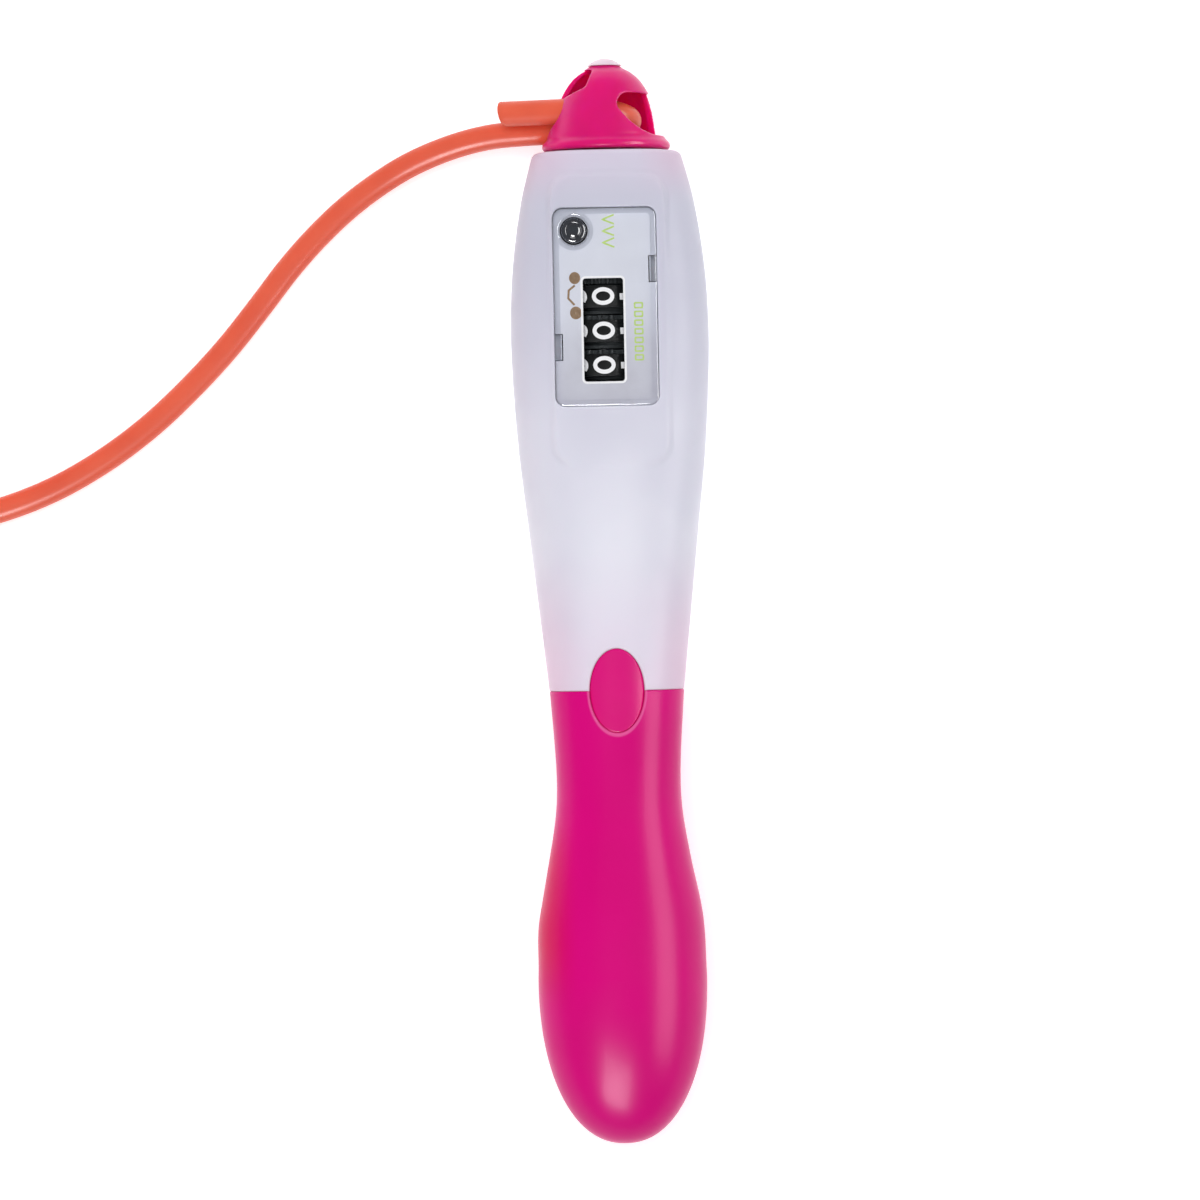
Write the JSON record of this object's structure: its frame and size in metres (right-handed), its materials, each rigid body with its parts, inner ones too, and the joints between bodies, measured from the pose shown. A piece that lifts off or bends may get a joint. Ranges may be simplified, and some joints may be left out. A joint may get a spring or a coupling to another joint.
{
  "type": "skipping rope counter handle",
  "caption": "Skipping-rope handle with a windowed mechanical revolution counter, a push reset, a turning head and its rope, the spare length wound in a coil.",
  "frame": {"origin": "on the table under the middle of the handle's length and width", "axes": "+Y along the handle from the grip to the turning head, +Z out of the counter window, +X to the right of someone who looks at the window with the head upwards"},
  "size_m": [0.1926, 0.179, 0.0263],
  "materials": {
    "shell_white": "satin, slightly translucent",
    "grip_pink": "smooth satin gloss",
    "badge_pink": "smooth gloss",
    "head_pink": "smooth gloss",
    "lens_clear": "clear and polished",
    "plate_white": "satin, printed",
    "wheel_black": "satin with white printed digits",
    "digit_white": "printed",
    "print_green": "printed",
    "print_brown": "printed",
    "works_ivory": "natural acetal",
    "works_grey": "moulded",
    "button_black": "gloss",
    "pin_white": "satin",
    "steel": "bright",
    "rope_orange": "smooth extruded PVC",
    "tie_white": "soft strap"
  },
  "bodies": {
    "handle": {"front_shell": "shell_white", "rear_shell": "shell_white", "grip": "grip_pink", "badge": "badge_pink", "shell_screws": "steel", "grip_screw": "steel", "lens": "lens_clear", "face_plate": "plate_white", "counter_frame": "works_grey", "frame_screws": "steel", "wheel_shaft": "steel", "pinion_shaft": "steel", "lever_shaft": "steel", "detent_spring": "steel", "spindle_bush": "works_ivory", "thrust_washer": "steel", "button_spring": "steel"},
    "rotor": {"rotor_cap": "head_pink", "spindle": "pin_white", "spindle_clip": "steel", "spindle_pinion": "works_ivory", "rope_loop": "rope_orange", "rope_run": "rope_orange", "rope_coil": "rope_orange", "coil_tie": "tie_white"},
    "idler": {"idler_gear": "works_ivory", "idler_pinion": "works_ivory"},
    "units": {"units_wheel": "wheel_black"},
    "tens": {"tens_wheel": "wheel_black"},
    "hundreds": {"hundreds_wheel": "wheel_black"},
    "transfer_1": {"transfer_pinion_1": "works_ivory"},
    "transfer_2": {"transfer_pinion_2": "works_ivory"},
    "button": {"reset_button": "button_black"},
    "lever": {"reset_lever": "works_grey"}
  },
  "joints": [
    {"name": "head_spin", "type": "hinge", "parent": "handle", "child": "rotor", "pos_m": [0, 0.07, 0.013], "axis": [0, -1, 0], "continuous": true},
    {"name": "idler_spin", "type": "hinge", "parent": "handle", "child": "idler", "pos_m": [0.00637, 0.056, 0.0136], "axis": [0, -1, 0], "continuous": true},
    {"name": "units_spin", "type": "hinge", "parent": "handle", "child": "units", "pos_m": [-0.001, 0.05, 0.01615], "axis": [0, -1, 0], "continuous": true},
    {"name": "tens_spin", "type": "hinge", "parent": "handle", "child": "tens", "pos_m": [-0.001, 0.0443, 0.01615], "axis": [0, -1, 0], "continuous": true},
    {"name": "hundreds_spin", "type": "hinge", "parent": "handle", "child": "hundreds", "pos_m": [-0.001, 0.0386, 0.01615], "axis": [0, -1, 0], "continuous": true},
    {"name": "transfer_1_spin", "type": "hinge", "parent": "handle", "child": "transfer_1", "pos_m": [0.00117, 0.0468, 0.00804], "axis": [0, -1, 0], "continuous": true},
    {"name": "transfer_2_spin", "type": "hinge", "parent": "handle", "child": "transfer_2", "pos_m": [0.00117, 0.0412, 0.00804], "axis": [0, -1, 0], "continuous": true},
    {"name": "reset_push", "type": "slide", "parent": "handle", "child": "button", "axis": [0, 0, -1], "range_m": [0, 0.002], "stiffness_N_per_m": 200, "springref_m": -0.001, "deforming": ["button_spring"]},
    {"name": "lever_rock", "type": "hinge", "parent": "handle", "child": "lever", "pos_m": [-0.0086, 0.05, 0.0092], "axis": [0, 1, 0], "range_deg": [0, 36]}
  ],
  "couplings": [
    {"joint": "idler_spin", "follows": "head_spin", "ratio": -0.33333},
    {"joint": "units_spin", "follows": "head_spin", "ratio": 0.1},
    {"joint": "tens_spin", "follows": "head_spin", "ratio": 0.01},
    {"joint": "hundreds_spin", "follows": "head_spin", "ratio": 0.001},
    {"joint": "transfer_1_spin", "follows": "head_spin", "ratio": -0.025},
    {"joint": "transfer_2_spin", "follows": "head_spin", "ratio": -0.0025},
    {"joint": "lever_rock", "follows": "reset_push", "rad_per_m": 314.16}
  ]
}
